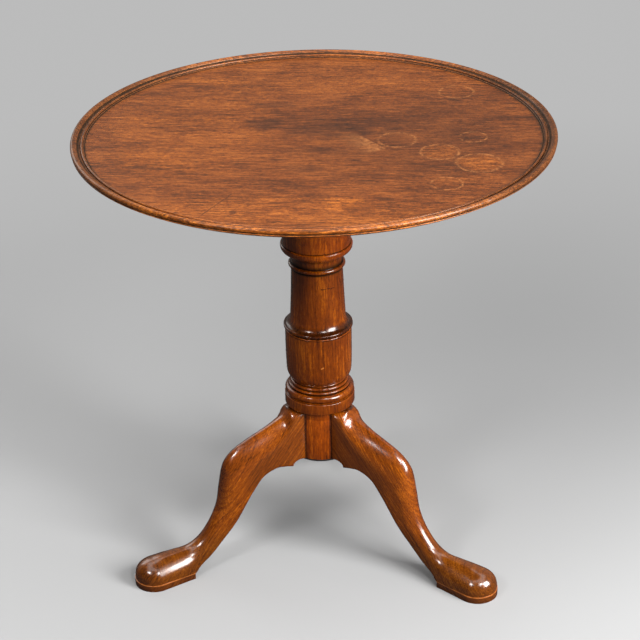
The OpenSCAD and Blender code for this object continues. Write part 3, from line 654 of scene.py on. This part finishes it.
# %% [markdown]
# ## Mahogany
# Wood is a bundle of fibres laid down in yearly layers, and everything seen on its surface is a cut through
# that. So the pattern is solid: it is laid out along three directions, the fibre, the layers and the third
# across both, and each piece cuts through it. Clouds of noise stretched along the fibre give the figure
# and the streaks, thin flat clouds give the layers, and tiny long ones give the open pores.


# %% Grain directions
def grain_turn(fibre, layers):
    """The turn that brings the fibre direction to X and the direction across the layers to Z"""
    along = Vector(fibre).normalized()
    across = Vector(layers)
    across = (across - along * across.dot(along)).normalized()
    return Matrix((along, across.cross(along), across)).to_euler()


def clouds(grain, length, width, depth, detail=2.0, roughness=0.5):
    """Noise whose clouds are about this long, wide and deep in mm"""
    stretched = grain.vectors("MULTIPLY", (1000 / length, 1000 / width, 1000 / depth))
    return grain.node("TexNoise", {}, {"Vector": stretched, "Scale": 1.0, "Detail": detail,
                                       "Roughness": roughness})


# %% [markdown]
# The polish on top is old and hand-rubbed: it is glossier on the crowns that hands and dusters reach, and
# dirt and old wax stay in the hollows. There the colour darkens towards brown, which is that dirt together
# with painted shade. The bends stored on each mesh say which is which. A clear coat gives the deep shine of
# the legs and the column. Years of wiping have left the top a thin, rough coat.


# %% Mahogany finish
dirt_and_shade_brown, worn_orange = colour("170803"), colour("a8622c")
pore_brown, amber = colour("260d05"), colour("ffd9ad")

Cut = namedtuple("Cut", "fibre layers shift")
Pattern = namedtuple("Pattern", "layer_share fleck_share fleck_width")
Polish = namedtuple("Polish", "rough coat_weight coat_rough coat_ior wood_shine")


def mahogany(name, cut, pattern, colours, polish, marks):
    """Polished old mahogany. marks changes the colour, the roughness and the height that it is given"""
    light, middle, dark = [colour(code) for code in colours]
    finish, shader, place = new_finish(name)
    grain = place.node("Mapping", {}, {"Vector": place, "Rotation": grain_turn(cut.fibre, cut.layers),
                                       "Location": cut.shift})
    drift = clouds(grain, 220, 80, 80) - 0.5
    swerve = grain.node("CombineXYZ", {}, {1: drift * (16 * mm), 2: drift * (12 * mm)})
    grain = grain.vectors("ADD", swerve)

    figure = clouds(grain, 110, 40, 40, 3) - 0.5
    wide = pattern.fleck_width
    streaks = clouds(grain, 20 * wide, wide, wide, 3, 0.65) - 0.5
    flecks = clouds(grain, 3.4 * wide, wide, wide, 3, 0.65) - 0.5
    yearly = clouds(grain, 420, 160, 2.6, 2, 0.6) - 0.5
    pores = clouds(grain, 5.5, 0.5, 0.5, 1).rise(0.6, 0.7)
    specks = clouds(grain, 9, 1.1, 1.1, 2).rise(0.61, 0.72) * (figure + 0.5).rise(0.35, 0.6)
    blotch = clouds(place, 16, 16, 16, 4, 0.65)

    lines = (streaks * 1.4 + flecks * 0.9) * pattern.fleck_share
    tone = figure * 0.8 + lines + yearly * pattern.layer_share + 0.5
    body = tone.rise(0.1, 0.54).tint(dark, middle)
    body = tone.rise(0.48, 0.86).tint(body, light)
    bend = stored_bend(place)
    # Painted shade with dirt: the colour darkens towards brown in the hollows, which also lose polish.
    hollow_dirt_and_shade = (bend * -1 + (blotch - 0.5) * 0.1).rise(0.03, 0.2) * 0.95
    rubbed = bend.rise(0.25, 0.9) * blotch.rise(0.35, 0.65) * 0.6
    body = (pores * 0.6).tint(body, pore_brown)
    body = (specks * 0.75).tint(body, pore_brown)
    body = rubbed.tint(body, worn_orange)
    body = hollow_dirt_and_shade.tint(body, dirt_and_shade_brown)
    rough = polish.rough + blotch.rise(0.35, 0.8) * 0.14 + hollow_dirt_and_shade * 0.3 + pores * 0.2
    height = (pores * (-0.03 * mm) + streaks * (0.03 * mm) + clouds(place, 45, 45, 45) * (0.18 * mm)
              + clouds(place, 8, 8, 8) * (0.02 * mm))
    body, rough, height = marks(place, body, rough, height)
    feed(shader, Base_Color=body, Roughness=rough, Normal=bumped(height),
         Specular_IOR_Level=polish.wood_shine, Specular_Tint=amber, Coat_Tint=amber,
         Coat_Weight=(1 - hollow_dirt_and_shade * 0.8) * polish.coat_weight, Coat_Roughness=polish.coat_rough,
         Coat_IOR=polish.coat_ior)
    return finish


# %% [markdown]
# ### Marks on the top
# A supper table collects them: pale rings from hot cups, dark stains from spills, a long scratch, small
# bruises. Each is placed where the photograph shows it, in millimetres from the middle of the top. A stain
# is a soft-edged ellipse, listed by its centre, its two reaches and its strength. A ring is where the
# distance to a centre is near its radius. Noise frays them all. A flat colour would hide the grain, but real
# stains sink in, so most marks are washes that multiply the colour of the wood.

# %% Marks on the top
# The first dark wash is a wide one that darkens the right half of the top.
dark_stains = [(190, -20, 210, 220, 0.52), (-80, 40, 36, 26, 0.75), (-67, 55, 18, 14, 0.6),
               (-79, 118, 42, 12, 0.6), (8, 20, 70, 46, 0.6), (70, 36, 80, 50, 0.35),
               (15, -62, 56, 15, 0.65), (2, -131, 44, 17, 0.6), (-207, -71, 17, 7, 0.5),
               (-44, -102, 13, 5, 0.8), (71, -98, 11, 5, 0.8), (-84, -286, 6, 7, 0.9)]
# Painted sheen: the wide pale wash across the back. The wide washes over the left half and the front lighten
# them.
pale_stains_and_sheen = [(246, -101, 33, 31, 1.0), (189, -62, 27, 28, 0.8), (63, -250, 30, 28, 0.6),
               (202, -177, 22, 22, 0.25), (264, -152, 2.6, 5, 1.0), (-137, -228, 1.8, 3, 0.8),
               (-155, 51, 40, 16, 0.35), (-20, -285, 230, 60, 0.5), (0, 250, 250, 90, 0.45),
               (-190, 20, 130, 230, 0.5), (-230, -110, 60, 40, 0.25), (-250, 48, 50, 20, 0.25)]
cup_rings = [(246, -101, 33, 0.45), (189, -62, 28, 0.5), (124, -18, 28, 0.5), (207, 186, 27, 0.5),
             (236, -2, 20, 0.45), (202, -177, 22, 0.45)]
scratch_start, scratch_end, scratch_width = Vector((-93, -226)), Vector((-125, -298)), 1.1
scorch_start, scorch_end, scorch_reach = Vector((47, 25)), Vector((109, -52)), 46
dark_wash, gold_wash, end_wash = (0.3, 0.28, 0.42), (1.7, 1.8, 1.4), (0.62, 0.75, 1.2)
ring_pale = colour("c98f57")


def washed(body, share, wash):
    """The wood with a thin coloured wash over it, so that the grain still shows"""
    return share.tint(body, body.vectors("MULTIPLY", wash))


def top_marks(place, body, rough, height):
    """Lay the stains, a painted sheen, rings, scorch and scratch over the wood of the top, and the end grain
    over its rim
    """
    x, y = [side / mm for side in split(place)[:2]]
    fray = clouds(place, 26, 9, 26, 4, 0.7) - 0.5
    fine = clouds(place, 6, 4, 6, 3, 0.7)

    def distance(centre_x, centre_y, reach_x, reach_y):
        """How far from a centre, counted in reaches"""
        across, along = (x - centre_x) / reach_x, (y - centre_y) / reach_y
        return (across * across + along * along).maths("SQRT")

    def beside(start, end):
        """How far along a line from start to end, how far to its left, and its length, in mm"""
        way, off_x, off_y = (end - start).normalized(), x - start.x, y - start.y
        return off_x * way.x + off_y * way.y, off_y * way.x - off_x * way.y, (end - start).length

    for *ellipse, strength in dark_stains:
        edge = distance(*ellipse) + fray * 2.2
        body = washed(body, edge.rise(1.2, 0.2) * strength, dark_wash)
    for *ellipse, strength in pale_stains_and_sheen:
        edge = distance(*ellipse) + fray * 1.2
        body = washed(body, edge.rise(1.1, 0.7) * fine.rise(0.35, 0.55) * strength, gold_wash)
    for centre_x, centre_y, radius, strength in cup_rings:
        off = distance(centre_x, centre_y, radius, radius) - 1 + fray * 0.16
        line = off.maths("ABSOLUTE").rise(0.13, 0.01) * fine.rise(0.42, 0.62) * strength
        body = line.tint(body, ring_pale)
        rough = rough + line * 0.2
    along, left, length = beside(scorch_start, scorch_end)
    scorch = left.rise(1, -1) * left.rise(-scorch_reach, -2)
    scorch = scorch * along.rise(0, length * 0.7) * along.rise(length + 3, length)
    body = (scorch * fine.rise(0.3, 0.7) * 0.6).tint(body, ring_pale)
    along, left, length = beside(scratch_start, scratch_end)
    cut = (left + fray * 6).maths("ABSOLUTE").rise(scratch_width, 0.3)
    cut = cut * along.rise(-2, 2) * along.rise(length + 2, length - 2)
    body = (cut * 0.85).tint(body, pore_brown)

    out = distance(0, 0, 1, 1)
    on_rim = out.rise(field_r - 2, field_r + 4)
    sideways = (x / out).maths("ABSOLUTE")
    end_grain = on_rim * sideways.rise(0.3, 0.95)
    body = washed(body, end_grain * fine.rise(0.2, 0.5), end_wash)
    worn_rim = out.rise(rim_r - 9, rim_r - 4) * sideways.rise(0.9, 0.4) * fine.rise(0.3, 0.6)
    body = washed(body, worn_rim, gold_wash)
    return body, rough + end_grain * 0.06, height - cut * (0.08 * mm)


# %% [markdown]
# ### Marks on the column and the legs
# The shaft has a short crack across it, and the bruise on the cup shows pale wood. Old wax and dust have
# turned black round the joints. The flare above the ring and the tops of the legs under the drum are
# darkened with painted shade as well as dirt. The capital and the hub are lightened with painted light, and
# the shaft between them is darkened with painted shade. The legs go from pale at the knee, which is painted
# light, to dark at the foot. The upper edge of each sole pad is rubbed to a pale line, and the pad below it
# is scuffed and dark.

# %% Marks on the column and the legs
crack_start, crack_end, crack_z, crack_drop = 9, 31, 473.5, 0.07
bruise_x, bruise_z, bruise_reach, bruise_slant = 10, 342, 3.2, ((0.83, 0.55), (-1.1, 1.66))
rubbed_pale, scuff_brown, dull_side = colour("c98f5c"), colour("4d2a18"), colour("56351a")
painted_light_wash, painted_shade_wash = (1.4, 1.3, 0.7), (0.86, 0.84, 0.55)
knee_painted_light_wash, foot_wash = (1.28, 1.28, 1.1), (0.76, 0.9, 1.2)
joint_start, joint_end, flat_start, flat_end = 21, 26, 22.3, 23.8
ankle_z, calf_z, knee_z = 40, 90, 220


def column_marks(place, body, rough, height):
    """The crack in the shaft, the bruise on the cup, painted light and shade up the column, and the dirt and
    painted shade in the joints and on the flare
    """
    x, y, z = [side / mm for side in split(place)]
    fray = clouds(place, 7, 7, 7, 3, 0.7) - 0.5
    off = z - crack_z + (x - crack_start) * crack_drop + fray * 5
    crack = off.maths("ABSOLUTE").rise(0.9, 0.3) * y.rise(1, -1)
    crack = crack * x.rise(crack_start - 1, crack_start) * x.rise(crack_end, crack_end - 4)
    body = (crack * 0.85).tint(body, pore_brown)
    off_x, off_z = x - bruise_x, z - bruise_z
    along, across = [off_x * share_x + off_z * share_z for share_x, share_z in bruise_slant]
    away = (along * along + across * across).maths("SQRT")
    bruise = (away + fray * 3).rise(bruise_reach, bruise_reach * 0.5) * y.rise(-30, -40)
    body = (bruise * 0.8).tint(body, rubbed_pale)
    # Painted light lightens the hub and the capital, and painted shade darkens the drum, the shaft and the
    # neck between.
    body = washed(body, z.rise(drum_z, drum_z - 2) + z.rise(neck_z - 6, lip_z - 6), painted_light_wash)
    body = washed(body, z.rise(drum_z - 2, drum_z) * z.rise(neck_z, neck_z - 6), painted_shade_wash)
    panel = y.maths("ARCTAN2", y, x) / radians(120) - 0.25
    panel = (panel - panel.maths("ROUND")).maths("ABSOLUTE") * 120
    # Dirt in the joints beside the legs, and painted shade on the flare above the ring.
    dirt_and_shade = panel.rise(joint_start, joint_end) * z.rise(drum_z, drum_z - 1)
    dirt_and_shade = dirt_and_shade + z.rise(ring_z + 12, ring_z + 2) * z.rise(ring_low - 3, ring_low)
    body = (dirt_and_shade * (0.75 + fray)).tint(body, dirt_and_shade_brown)
    return body, rough, height - crack * (0.1 * mm)


def leg_marks(angle, place, body, rough, height):
    """The leg's painted light at the knee and darker foot, its dull flat sides, dirt with painted shadow by
    the hub, and the line and scuffs of the sole pad
    """
    z = split(place)[2] / mm
    turn = radians(angle)
    ways = ((cos(turn), sin(turn), 0), (-sin(turn), cos(turn), 0))
    out, side = [place.vectors("DOT_PRODUCT", way, output=1) / mm for way in ways]
    # Painted light: the upper leg and the knee are lightened.
    body = washed(body, z.rise(calf_z, knee_z), knee_painted_light_wash)
    body = washed(body, z.rise(calf_z, ankle_z), foot_wash)
    flat = side.maths("ABSOLUTE").rise(flat_start, flat_end) * z.rise(pad_height + 40, pad_height + 60)
    body = (flat * 0.4).tint(body, dull_side)
    rough = rough + flat * 0.25
    # Dirt in the joint with the hub, and the painted shadow of the drum across the top of the leg.
    dirt_and_shade = out.rise(seat_r + 4, seat_r + 1) + z.rise(leg_top - 5, leg_top - 1)
    body = (dirt_and_shade * 0.8).tint(body, dirt_and_shade_brown)
    scuffs = clouds(place, 9, 9, 4, 4, 0.7)
    body = (z.rise(pad_height - 0.6, pad_height - 2) * scuffs.rise(0.3, 0.6) * 0.6).tint(body, scuff_brown)
    line = (z - pad_height + 0.3).maths("ABSOLUTE").rise(1.1, 0.4) * scuffs.rise(0.3, 0.5)
    body = (line * 0.6).tint(body, rubbed_pale)
    return body, rough + z.rise(pad_height, pad_height - 2) * 0.15, height


# %% [markdown]
# ### Which way the grain runs
# The top's fibres run left to right. The column's run up. Each leg is sawn from a plank with its fibres
# along the slope from hub to foot, and its layers face the knee, so the spokeshave cuts them into ovals
# there. The top is coarser in pattern, and the column is the calmest.

# %% Mahogany finishes
top_colours = "a2632d", "784015", "40210b"
column_colours = "b67119", "7a4106", "442006"
leg_colours = "aa6a1a", "7a440c", "422206"

worn_wax = Polish(rough=0.36, coat_weight=0.55, coat_rough=0.34, coat_ior=1.5, wood_shine=0.45)
column_polish = Polish(rough=0.26, coat_weight=1, coat_rough=0.2, coat_ior=1.6, wood_shine=0.1)
leg_polish = Polish(rough=0.24, coat_weight=1, coat_rough=0.2, coat_ior=1.75, wood_shine=0.1)

top_finish = mahogany("mahogany_top", Cut((1, 0.02, 0), (0, 0.35, 1), (0.3, 0.1, 0)),
                      Pattern(0.2, 1.6, 1.8), top_colours, worn_wax, top_marks)
top_board.data.materials.append(top_finish)
column_finish = mahogany("mahogany_column", Cut((0, 0, 1), (1, 0.4, 0), (0, 0.7, 0.2)),
                         Pattern(0.3, 0.62, 3), column_colours, column_polish, column_marks)
column_piece.data.materials.append(column_finish)
for side, angle in leg_angles.items():
    turn = Matrix.Rotation(radians(angle), 3, "Z")
    leg_cut = Cut(turn @ Vector((0.62, 0, -0.78)), turn @ Vector((0.74, 0.25, 0.6)), (angle * mm, 0.2, 0))
    leg_finish = mahogany("mahogany_leg_" + side, leg_cut, Pattern(0.7, 0.78, 1.3), leg_colours,
                          leg_polish, partial(leg_marks, angle))
    leg_pieces[side].data.materials.append(leg_finish)
print("polished finishes:", top_finish.name, column_finish.name, "and", len(leg_pieces), "for the legs")


# %% [markdown]
# ## Bare wood, brass and iron
# Nobody polished the parts under the top. They are dry and dark with age, with broad tracks left by the
# plane. The brass is dull gold with brown tarnish in its hollows, and the iron is black with a little rust.

# %% Other finishes
def bare_wood(name, fibre, layers, light, dark):
    """Unpolished wood, darkened by age"""
    finish, shader, place = new_finish(name)
    grain = place.node("Mapping", {}, {"Vector": place, "Rotation": grain_turn(fibre, layers)})
    streaks = clouds(grain, 90, 2.6, 2.6, 3, 0.6)
    figure = clouds(grain, 240, 40, 40, 2)
    pores = clouds(grain, 7, 0.5, 0.5, 1).rise(0.6, 0.7)
    tracks = clouds(grain, 300, 28, 28, 0)
    body = (streaks * 0.6 + figure * 0.5).rise(0.35, 0.75).tint(dark, light)
    body = (pores * 0.6).tint(body, colour("1d0f09"))
    body = (stored_bend(place).rise(0.3, 1) * 0.4).tint(body, light)
    height = tracks * (0.35 * mm) + streaks * (0.06 * mm) - pores * (0.05 * mm)
    feed(shader, Base_Color=body, Roughness=0.62 + streaks * 0.2, Normal=bumped(height))
    return finish


def metal(name, bright, dull, gloss, tarnish_low, tarnish_high):
    """Old metal: bright where it is rubbed, dull and stained where it is not"""
    finish, shader, place = new_finish(name)
    stains = clouds(place, 9, 9, 9, 5, 0.65)
    age = (stains.rise(tarnish_low, tarnish_high) - stored_bend(place).rise(0.2, 1) * 0.6).rise(0, 1)
    file_marks = clouds(place, 12, 0.3, 0.3, 1)
    height = stains * (0.08 * mm) + file_marks * (0.01 * mm)
    feed(shader, Base_Color=age.tint(bright, dull), Metallic=1 - age * 0.55, Roughness=gloss + age * 0.35,
         Normal=bumped(height))
    return finish


under_finish = bare_wood("bare_mahogany", (0, 1, 0), (1, 0, 0.3), colour("7d4a2c"), colour("4a2817"))
wedge_finish = bare_wood("wedge_wood", (0, 0, 1), (0, 1, 0), colour("a9764a"), colour("6d452a"))
brass_finish = metal("old_brass", colour("c9a04e"), colour("5e4a22"), 0.28, 0.42, 0.7)
iron_finish = metal("old_iron", colour("57534f"), colour("2c1d15"), 0.45, 0.38, 0.66)
top_board.data.materials.append(under_finish)
for face in top_board.data.polygons:
    face.material_index = int(face.center.z < (under_z + 1) * mm)
print("under the board:", top_board.data.materials[1].name)

# %% [markdown]
# The other pieces are dressed by the slot that the record gives them. Small parts such as the screws keep
# their drawn solids and only change their finish.

# %% Finishes of the other pieces
finish_of = {"mahogany_under": under_finish, "wedge_wood": wedge_finish, "brass": brass_finish,
             "iron": iron_finish}
for piece, slot in eased_pieces:
    piece.data.materials.append(finish_of[slot])
for node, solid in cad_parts.items():
    if solid.hide_render:
        continue
    slot_name = solid.data.materials[0].name
    solid.data.materials.clear()
    solid.data.materials.append(finish_of[slot_name])
    print("kept as drawn:", node, slot_name)

# %% [markdown]
# ## The studio
# A pale matt floor that fades into a pale room. The room is only a colour: near the table the floor takes
# real shadows, and further out it turns into the same grey as the air, so no horizon shows from any side.
# Its colour also carries painted shade: it is darker to the right, where lamps this near would burn white
# patches into an even floor, and painted shadows lie under and behind the table. Only the camera sees the
# pale room. The polish mirrors a dim one, brighter behind the table, as in a studio where only the set is
# lit.
# That keeps the brown of the wood deep.

# %% Floor and room
room_grey, dim_room = 0.5, 0.1
mirror_dark, mirror_bright = 0.03, 0.24
floor_left, floor_right, painted_shadow_grey, floor_dim = 0.48, 0.4, 0.22, 0.05
floor_reach, fade_start, fade_end = 14, 0.7, 2.1
# each painted shadow on the floor: its centre, its reach and its strength. They are the top's shadow behind
# the table, the shadow under the hub, and painted shade where the right lamp would light the floor brightly
painted_floor_shadows = [((0.4, 0.6, 0), 0.95, 0.5), ((-0.045, 0.075, 0), 0.15, 0.8), ((1.5, -0.9, 0), 1.35, 1.0)]


def light_ray(place, kind):
    """1 for rays of one kind, such as those from the camera, and 0 for the rest"""
    return place.node("LightPath", {}, {}, output="Is " + kind + " Ray")


def grey(level):
    """A plain grey as a colour"""
    return (level, level, level, 1)


floor_shape = bmesh.new()
bmesh.ops.create_circle(floor_shape, cap_ends=True, segments=96, radius=floor_reach)
floor_mesh = bpy.data.meshes.new("floor")
floor_shape.to_mesh(floor_mesh)
floor_shape.free()
floor = placed("floor", floor_mesh)

floor_finish, floor_shader, floor_place = new_finish("pale_floor")
far = floor_place.vectors("LENGTH", output=1)
# Painted shade: the floor's colour darkens from left to right.
shade = split(floor_place)[0].rise(-1.0, 0.9).tint(grey(floor_left), grey(floor_right))
# Painted shadows darken the floor's colour.
for centre, reach, strength in painted_floor_shadows:
    away = floor_place.vectors("DISTANCE", centre, output=1)
    shade = (away.rise(reach, 0.1 * reach) * strength).tint(shade, grey(painted_shadow_grey))
seen = light_ray(floor_place, "Camera")
feed(floor_shader, Base_Color=seen.tint(grey(floor_dim), shade), Roughness=1.0, Specular_IOR_Level=0.0)
air = far.node("Emission", {}, {"Color": seen.tint(grey(dim_room), grey(room_grey)), "Strength": 1.0})
near_floor = Wire(floor_shader.outputs[0])
blended = far.node("MixShader", {}, {0: far.rise(fade_start, fade_end), 1: near_floor, 2: air})
floor_out = next(node for node in floor_finish.node_tree.nodes if node.type == "OUTPUT_MATERIAL")
floor_finish.node_tree.links.new(blended.socket, floor_out.inputs[0])
floor.data.materials.append(floor_finish)

world = bpy.data.worlds.new("room")
world.use_nodes = True
scene.world = world
net = world.node_tree
net.nodes.clear()
sight = Wire(net.nodes.new("ShaderNodeTexCoord").outputs["Generated"])
behind = split(sight)[1].rise(-0.3, 0.7)
mirrored = behind.tint(grey(mirror_dark), grey(mirror_bright))
level = light_ray(sight, "Glossy").tint(grey(dim_room), mirrored)
level = light_ray(sight, "Camera").tint(level, grey(room_grey))
sky = sight.node("Background", {}, {"Color": level, "Strength": 1.0})
net.links.new(sky.socket, net.nodes.new("ShaderNodeOutputWorld").inputs[0])
print("floor radius in m:", floor_reach, "faded out from", fade_end)

# %% [markdown]
# Five soft lamps. The widest hangs overhead and puts the shadow straight under the table. A tall one on the
# right models the column and draws the long highlights down the legs. Two small ones, left and right of the
# camera, put a second spark on each round moulding, and a weak one behind lifts the far rim. They are square
# like studio boxes, because polish mirrors their shape. Each is placed by its angle from the camera.


# %% Lamps
def lamp(name, place, aim, size, power):
    """A square soft lamp at a place in metres, turned towards an aim"""
    data = bpy.data.lights.new(name, "AREA")
    data.shape, data.size, data.size_y, data.energy = "RECTANGLE", size[0], size[1], power
    made = placed(name, data)
    made.location = place
    made.rotation_euler = (Vector(aim) - Vector(place)).to_track_quat("-Z", "Y").to_euler()


def beside_camera(right, height, distance):
    """A place at an angle right of the camera's own side of the table"""
    turn = atan2(camera_place.y, camera_place.x) + radians(right)
    return (distance * cos(turn), distance * sin(turn), height)


lamp("overhead", (0, 0.1, 3.0), (0, 0.1, 0), (3.4, 3.2), 52)
lamp("right", beside_camera(54, 1.34, 2.1), (0, 0, 0.45), (1.0, 1.3), 92)
lamp("left", beside_camera(-40, 2.1, 2.1), (0, 0, 0.3), (0.5, 0.5), 20)
lamp("front", beside_camera(24, 2.2, 2.1), (0, 0, 0.3), (0.55, 0.65), 26)
lamp("back", beside_camera(-140, 1.7, 2.6), (0, 0, 0.35), (1.4, 1.4), 13)
print("lamps:", len(bpy.data.lights))
scene.view_settings.view_transform = "Standard"
